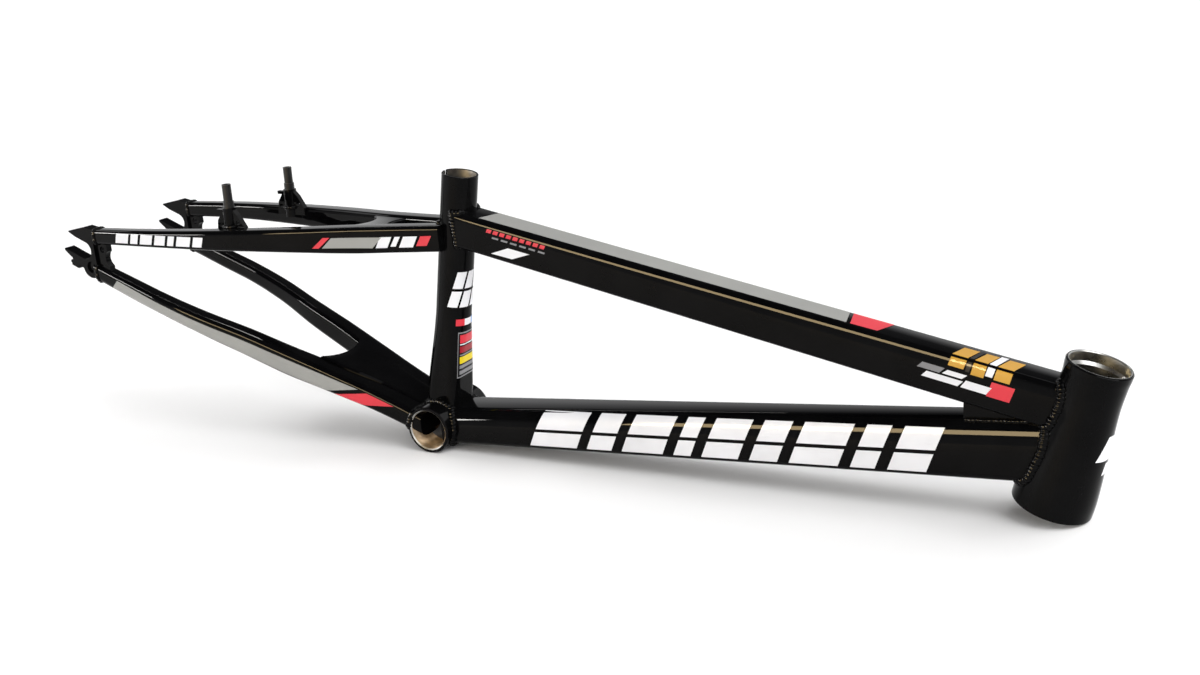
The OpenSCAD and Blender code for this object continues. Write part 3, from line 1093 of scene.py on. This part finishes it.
@dataclass
class MainTubes:
    """The top tube, the down tube and the gusset between them."""

    geo: Geometry

    def build(self) -> None:
        """Builds the three pieces."""
        g = self.geo
        ends = (g.top_a[0] + 6, g.top_b[0] - 4)
        self.top = Tube("top_tube_skin", "top_tube", *ends, g.top_section)
        self.down = Tube("down_tube_skin", "down_tube", 8.0, g.down_b[0] - 8, g.down_section)
        self.top.build()
        self.down.build()
        tip = 460.0
        rings = []
        for i in range(25):
            x = mix(tip, g.down_b[0] - 24, i / 24)
            low = g.down_section(x).top - 3
            high = max(g.top_section(x).bottom + 1, low + 0.5)
            r = min(2.0, (high - low) * 0.4)
            rings.append(Section(x, 0, 11.9, high, low, (r, r), (r, r)).ring(6))
        obj = make("throat_gusset_skin", flat(rings), skin(rings, caps=True), PAINT)
        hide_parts("throat_gusset")

    def dress(self) -> None:
        """Prints the panels of the main tubes."""
        g = self.geo
        x0, x1 = 62.0, 374.0
        strip = ((x0, -12), (x1, -10), (x1 - 4, 12.5), (x0 + 5, 12.5))
        self.top.panel("top_strip", strip, SILVER, Face.TOP)
        strip_end = ((x1 + 3, -10), (x1 + 23, -9.5), (x1 + 30, 12.5), (x1 - 1, 12.5))
        self.top.panel("top_strip_end", strip_end, RED, Face.TOP)
        patches = [(452, 11, GOLD), (464, 3, INK_AND_HOLE_SHADE), (468, 9, GOLD), (478, 5, WHITE), (484, 11, GOLD)]
        for i, (x, w, finish) in enumerate(patches):
            near, far = -14.2, 6.0 + 2.0 * (i % 2)
            corners = ((x, near), (x + w, near), (x + w + 5, far), (x + 5, far))
            self.top.panel(f"top_patch_{i + 1}", corners, finish, Face.TOP, lift=PATCH_LIFT)
            low, high = 26.0 - (i % 3), 32.3
            base = [(x - 2, low), (x + w - 2, low), (x + w, high), (x, high)]
            shoulder = tuple((a, g.top_section(a).bottom + up) for a, up in base)
            self.top.panel(f"top_patch_{i + 1}_shoulder", shoulder, finish, lift=PATCH_LIFT)
        for side in Side:
            self.side_of_top(side)
            self.side_of_down(side)
        LOG.info("upper line %.1f to %.1f mm", g.top_a[1], g.top_b[1])

    def side_of_top(self, side: Side) -> None:
        """Prints the small panels on one side of the top tube."""
        bar = self.top.bar
        for i in range(9):
            span = (71 + i * 6.2, 75.4 + i * 6.2)
            bar(f"top_hatch_{i + 1}", side, span, (22.2, 25.4), 1.6, RED)
        for i in range(6):
            span = (76 + i * 8.6, 82 + i * 8.6)
            bar(f"top_dash_{i + 1}", side, span, (18.2, 19.8), 0.8, GREY)
        base = ((74, 5.0), (94, 5.6), (111, 14.2), (91, 14.0))
        diamond = tuple((x, self.top.at(x).bottom + up) for x, up in base)
        self.top.panel(f"top_diamond_{side.name.lower()}", diamond, WHITE, side=side)
        blocks = [
            (428, 16, 18.5, 23.0, GREY),
            (431, 26, 12.5, 17.2, WHITE),
            (446, 14, 18.8, 22.4, WHITE),
            (459, 18, 12.5, 18.6, WHITE),
            (477, 16, 11.6, 23.0, RED),
        ]
        for i, (x, w, lo, hi, finish) in enumerate(blocks):
            bar(f"top_block_{i + 1}", side, (x, x + w), (lo, hi), 4.0, finish)

    def side_of_down(self, side: Side) -> None:
        """Prints the row of slanted bars along one side of the down tube."""

        def corner(x: float, share: float) -> Pair:
            """Returns a corner at x and a share of the way up the printed band."""
            s = self.geo.down_section(x)
            low = s.bottom + 4.5
            return (x, mix(low, low + mix(27.5, 34.0, x / 450), share))

        lean, gap, next_by = 13.0, 7.0, 2.5
        parts = (("low", 0.0, 0.47 - 0.045), ("high", 0.47 + 0.045, 1.0))
        x = 98.0
        for i, w in enumerate([52, 30, 44, 22, 38, 30, 46, 26, 36]):
            for part, lo, hi in parts:
                base = ((0, lo), (w, lo), (w, hi), (0, hi))
                corners = tuple(
                    corner((x + b - gap if b else x) + lean * share, share) for b, share in base
                )
                name = f"down_bar_{i + 1}_{part}_{side.name.lower()}"
                self.down.panel(name, corners, WHITE, side=side)
            x += w + next_by


@dataclass
class RearTriangle:
    """The stays with their yoke and bridge. The dropouts keep their solids."""

    geo: Geometry

    def build(self) -> None:
        """Builds the stays, the yoke and the bridge."""
        g = self.geo
        self.seat_stays: dict[Side, Tube] = {}
        self.chain_stays: dict[Side, Tube] = {}
        for side in Side:
            for kind, tubes, start, end, at in (
                ("seat", self.seat_stays, g.stay_x0, 26.0, g.seat_stay_section),
                ("chain", self.chain_stays, g.chain_x0, -8.0, g.chain_stay_section),
            ):
                node = f"{kind}_stay_{side.name.lower()}"
                tubes[side] = Tube(f"{node}_skin", node, start, end, partial(at, side), 110)
                tubes[side].build()
        self.yoke()
        self.bridge()

    def yoke(self) -> None:
        """Builds the hollow-backed plate between the chain stays."""
        g = self.geo
        plan = [(0.665, 30.5), (0.75, 25.5), (0.82, 19.0), (0.905, 16.0), (0.97, 16.0)]
        first, last, along, across = 0.665, 0.955, 40, 28
        hollow_r, hollow_back, shy, round_r = 54.5, 46, 0.6, 2.4
        x0 = g.chain_x0
        base = mix(x0, 0, first)
        rows: list[list[Point]] = []
        for i in range(along + 1):
            share = i / along
            half = smooth_plan(plan, mix(first, last, share))[0] - shy
            row_top: list[Point] = []
            row_low: list[Point] = []
            for j in range(across + 1):
                y = mix(-half, half, j / across)
                back = base - hollow_back + math.sqrt(max(hollow_r**2 - y * y, 0)) + shy
                x = mix(max(back, base), mix(x0, 0, last), share)
                f = (x - x0) / (0 - x0)
                t = g.chain_line(f)
                rise = 3.2 * math.sin(math.pi * (1 - f) / 0.7) - 0.1
                over = max(0, (abs(y) - half + round_r) / round_r)
                edge = 1.6 * (1 - math.sqrt(max(0.0, 1 - over**2)))
                lip = 1.4 * max(0.0, 1 - share * 14)
                row_top.append((x, y, t + rise - edge - lip))
                row_low.append((x, y, t - 12.6))
            rows.append(row_top + list(reversed(row_low)))
        obj = make("chain_stay_yoke_skin", flat(rows), skin(rows, caps=True), PAINT)
        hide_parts("chain_stay_yoke")

    def bridge(self) -> None:
        """Builds the waisted bridge between the seat stays."""
        g = self.geo
        share, reach, half_gap = 0.77, 21.5, 23
        mid = mix(g.stay_x0, g.stay_x1, share) + 4
        top = g.stay_line(share) - 1.6
        rows: list[list[Point]] = []
        for i in range(31):
            y = mix(-reach, reach, i / 30)
            hollow = math.sqrt(max(21.0**2 - y * y, 0.0))
            rear = max(mid - half_gap + 0.2, mid - 33 + hollow)
            front = min(mid + half_gap - 0.2, mid + 33 - hollow)
            half = (front - rear) / 2
            ring = Section(0, 0, half, top, top - 12.8, (2.4, 2.2), (2.0, 2.0)).ring(6)
            rows.append([((front + rear) / 2 + p[1], y, p[2]) for p in ring])
        obj = make("seat_stay_bridge_skin", flat(rows), skin(rows, caps=True), PAINT)
        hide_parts("seat_stay_bridge")

    def dress(self) -> None:
        """Prints the panels on the stays."""
        for side in Side:
            self.on_seat_stay(side)
            self.on_chain_stay(side)

    def on_seat_stay(self, side: Side) -> None:
        """Prints the bars on the outer face of one seat stay."""
        bar = self.seat_stays[side].bar
        spans = [(-303, 16), (-284, 9), (-272, 14), (-255, 12), (-240, 7), (-230, 15), (-212, 10)]
        for i, (x, w) in enumerate(spans):
            bar(f"seat_stay_bar_{i + 1}", side, (x, x + w), (3.2, 12.2), 3.0, WHITE)
        bar("seat_stay_slash", side, (-92, -86), (5.0, 14.6), 11.0, RED)
        bar("seat_stay_strip", side, (-83, -36), (5.2, 14.4), 9.5, SILVER)
        blocks = [(-33, 11, WHITE), (-19, 5, WHITE), (-11, 13, WHITE), (5, 10, RED)]
        for i, (x, w, finish) in enumerate(blocks):
            name = f"seat_stay_block_{i + 1}"
            bar(name, side, (x, x + w), (5.2 + i % 2, 14.6), 5.0, finish)

    def on_chain_stay(self, side: Side) -> None:
        """Prints the long strip and its red end on the outer face of one chain stay."""
        tube = self.chain_stays[side]
        for kind, base, finish in (
            ("strip", ((-320, 0.1), (-102, 0.1), (-68, 0.8), (-311, 0.78)), SILVER),
            ("slash", ((-94, 0.1), (-68, 0.12), (-34, 0.8), (-60, 0.8)), RED),
        ):
            corners = tuple((x, mix(tube.at(x).bottom, tube.at(x).top, up)) for x, up in base)
            name = f"chain_stay_{kind}_{side.name.lower()}"
            tube.panel(name, corners, finish, side=side)


def dress_solids(nodes: dict[str, bpy.types.Object]) -> None:
    """Gives the brake bosses, brake posts and dropouts, which keep their solids, a finish.

    Args:
        nodes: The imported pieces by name.
    """
    for name, obj in nodes.items():
        finish = SATIN if name.startswith("brake_post") else PAINT
        for slot in obj.material_slots:
            slot.material = finish.build()
        LOG.info("%s dressed in %s", name, finish.name)


@dataclass
class Welds:
    """The beads at every joint."""

    geo: Geometry
    boss_at: Point = (-183, 41, 179.0)
    boss_bead: float = 6.6
    gusset_side: float = 12.4

    def build(self) -> None:
        """Builds each bead."""
        g = self.geo
        top, down, at_seat, at_head = g.top_section, g.down_section, g.top_a[0], g.top_b[0]
        for name, at, inside, free, buried, seed, radius in (
            ("top_tube_seat", top, g.in_seat, at_seat + 40, at_seat + 2, 11, BEAD_RADIUS),
            ("top_tube_head", top, g.in_head, at_head - 50, at_head - 6, 12, 4.0),
            ("down_tube_head", down, g.in_head, g.down_b[0] - 60, g.down_b[0] - 10, 13, 4.0),
            ("down_tube_shell", down, g.in_shell, 40.0, 6.0, 14, BEAD_RADIUS),
        ):
            path = joint_path(at, inside, free, buried)
            Weld(f"weld_{name}", path, seed=seed, radius=radius).build()
        for side in Side:
            self.one_side(side)
        self.seat_foot()

    def one_side(self, side: Side) -> None:
        """Builds the beads of one side: the stays, the gusset and the brake boss."""
        g = self.geo
        tag, k = side.name.lower(), side.value
        seat, chain = partial(g.seat_stay_section, side), partial(g.chain_stay_section, side)
        for kind, at, inside, free, buried, seed in (
            ("seat", seat, g.in_seat, -20.0, 24.0, 20),
            ("chain", chain, g.in_shell, -40.0, -10.0, 30),
        ):
            path = joint_path(at, inside, free, buried)
            Weld(f"weld_{kind}_stay_{tag}", path, seed=seed + k, radius=3.0).build()
        fine = FINE_BEAD_RADIUS
        for kind, at, end in (("seat", seat, 17.5), ("chain", chain, 12.5)):
            ring = at(g.axle_x + end).ring(8)[::2]
            name = f"weld_{kind}_stay_end_{tag}"
            Weld(name, ring, seed=50 + k, radius=fine, pitch=2.6).build()
        y = self.gusset_side
        line = [(x, k * y, g.down_section(x).height(y)) for x in (461 + 2.5 * i for i in range(19))]
        Weld(f"weld_gusset_{tag}", line, False, radius=fine, seed=60 + k).build()
        (x, y, z), r = self.boss_at, self.boss_bead
        turns = [math.tau * i / 24 for i in range(24)]
        ring = [(x + r * math.cos(a), k * y + r * math.sin(a), z) for a in turns]
        Weld(f"weld_brake_boss_{tag}", ring, radius=fine, pitch=2.5, seed=70 + k).build()

    def seat_foot(self) -> None:
        """Builds the bead round the seat tube's foot on the shell."""
        g = self.geo
        place = tilted((0.0, 0.0, 0.0), g.seat_lean)
        half, deep, power = 17.5, 15.5, 5
        path: list[Point] = []
        for j in range(96):
            a = math.tau * j / 96
            c, sn = math.cos(a), math.sin(a)
            k = (abs(c / deep) ** power + abs(sn / half) ** power) ** (-1 / power)
            x, y = k * c, k * sn
            lo, hi = 0.0, 40.0
            for _ in range(24):
                s = (lo + hi) / 2
                if g.in_shell(place((x, y, s))):
                    lo = s
                else:
                    hi = s
            path.append(place((x, y, lo)))
        Weld("weld_seat_tube_shell", path, seed=41, radius=3.0).build()


# ---- Studio ----
@dataclass
class Studio:
    """Floor, light and camera."""

    geo: Geometry
    floor_size: float = 24.0
    floor_gap: float = 0.0002
    sky_strength: float = 1.1
    eye: Point = (0.67123, -0.91835, 0.40697)
    turn: float = 28.79
    pitch: float = 16.62
    roll: float = -4.66
    lens: float = 40.04
    shift: Pair = (-0.00463, -0.0071)

    def build(self) -> None:
        """Builds the floor, the lights and the camera."""
        self.floor()
        self.sky()
        self.sun("main_light", (0.62, -0.05, 0.78), 2.2, 45.0)
        self.sun("back_light", (0.45, 0.60, 0.66), 1.25, 50.0)
        self.sun("front_light", (0.50, -0.62, 0.60), 0.9, 50.0)
        self.sun("left_light", (-0.94, 0.10, 0.42), 0.8, 35.0)
        warm, white = (1.0, 0.76, 0.42), (1.0, 0.98, 0.95)
        for name, place, aim, size, power, tint in (
            ("low_strip_warm", (-0.35, -2.35, 1.02), (0.25, 0.0, 0.1), (1.5, 0.5), 160.0, warm),
            ("low_strip_white", (-1.95, -1.75, 0.92), (-0.1, 0.0, 0.12), (1.1, 0.24), 125.0, white),
            ("rear_strip_white", (-1.35, 1.6, 2.1), (-0.1, 0.0, 0.15), (1.0, 0.05), 4.0, white),
        ):
            self.lamp(name, place, aim, size, power, tint)
        self.camera()

    def floor(self) -> None:
        """Builds the pale floor just under the frame."""
        z = -self.geo.bb_d / 2 * MM - self.floor_gap
        h = self.floor_size
        mesh = bpy.data.meshes.new("floor")
        mesh.from_pydata([(-h, -h, z), (h, -h, z), (h, h, z), (-h, h, z)], [], [(0, 1, 2, 3)])
        obj = added("floor", mesh)
        mesh.materials.append(FLOOR.build())

    def sky(self) -> None:
        """Builds the room: pale near the floor, dark above."""
        world = bpy.data.worlds.new("room")
        world.use_nodes = True
        tree = world.node_tree
        coord = tree.nodes.new("ShaderNodeTexCoord")
        split = tree.nodes.new("ShaderNodeSeparateXYZ")
        ramp = tree.nodes.new("ShaderNodeValToRGB")
        stops = ramp.color_ramp.elements
        stops[0].position, stops[0].color = 0.0, (1.0, 1.0, 1.0, 1.0)
        stops[1].position, stops[1].color = 0.22, (0.85, 0.85, 0.86, 1.0)
        stops.new(0.42).color = (0.10, 0.10, 0.105, 1.0)
        stops.new(1.0).color = (0.06, 0.06, 0.065, 1.0)
        tree.links.new(coord.outputs["Generated"], split.inputs["Vector"])
        tree.links.new(split.outputs["Z"], ramp.inputs["Fac"])
        back = tree.nodes["Background"]
        back.inputs["Strength"].default_value = self.sky_strength
        tree.links.new(ramp.outputs["Color"], back.inputs["Color"])
        bpy.context.scene.world = world

    def sun(self, name: str, away: Point, strength: float, spread: float) -> None:
        """Builds one broad, distant light.

        Args:
            name: Its name.
            away: Direction from the frame to the light.
            strength: Strength in watts per square metre.
            spread: Width of the light in degrees.
        """
        data = bpy.data.lights.new(name, "SUN")
        data.energy = strength
        data.angle = math.radians(spread)
        obj = added(name, data)
        obj.rotation_euler = (-Vector(away)).to_track_quat("-Z", "Y").to_euler()

    def lamp(
        self, name: str, place: Point, aim: Point, size: Pair, power: float, tint: Point
    ) -> None:
        """Builds one rectangular lamp that only shows as a streak in glossy surfaces.

        Args:
            name: Its name.
            place: Where it hangs, in metres.
            aim: The point it faces.
            size: Width and depth in metres.
            power: Power in watts.
            tint: Its colour.
        """
        data = bpy.data.lights.new(name, "AREA")
        data.shape = "RECTANGLE"
        data.size, data.size_y = size
        data.energy = power
        data.color = tint
        obj = added(name, data)
        obj.visible_diffuse = False
        obj.location = place
        obj.rotation_euler = (Vector(aim) - Vector(place)).to_track_quat("-Z", "Y").to_euler()

    def camera(self) -> None:
        """Sets the camera ahead of the frame, on its right and a little above it."""
        turn, pitch, roll = (math.radians(v) for v in (self.turn, self.pitch, self.roll))
        out = math.cos(pitch)
        forward = Vector((-math.sin(turn) * out, math.cos(turn) * out, -math.sin(pitch)))
        level = Vector((math.cos(turn), math.sin(turn), 0.0))
        above = level.cross(forward)
        right = level * math.cos(roll) + above * math.sin(roll)
        up = above * math.cos(roll) - level * math.sin(roll)
        data = bpy.data.cameras.new("camera")
        data.sensor_width = 36.0
        data.lens = self.lens
        data.shift_x, data.shift_y = self.shift
        data.clip_end = 100.0
        obj = added("camera", data)
        turned = Matrix((right, up, -forward)).transposed().to_4x4()
        obj.matrix_world = Matrix.Translation(Vector(self.eye)) @ turned
        bpy.context.scene.camera = obj


def main() -> None:
    """Builds every piece in order."""
    logging.basicConfig(level=logging.INFO, format="%(message)s")
    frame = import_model()
    head, seat = HeadTube(GEO), SeatTube(GEO)
    shell, mains, rear = BottomBracket(GEO), MainTubes(GEO), RearTriangle(GEO)
    for part in (head, seat, shell, mains, rear):
        part.build()
    for part in (head, seat, mains, rear):
        part.dress()
    Welds(GEO).build()
    kept = {
        name: obj
        for name, obj in frame["nodes"].items()
        if name.startswith(("brake_", "dropout_"))
    }
    dress_solids(kept)
    Studio(GEO).build()
    scene = bpy.context.scene
    scene.view_settings.view_transform = "Standard"


if __name__ == "__main__":
    main()
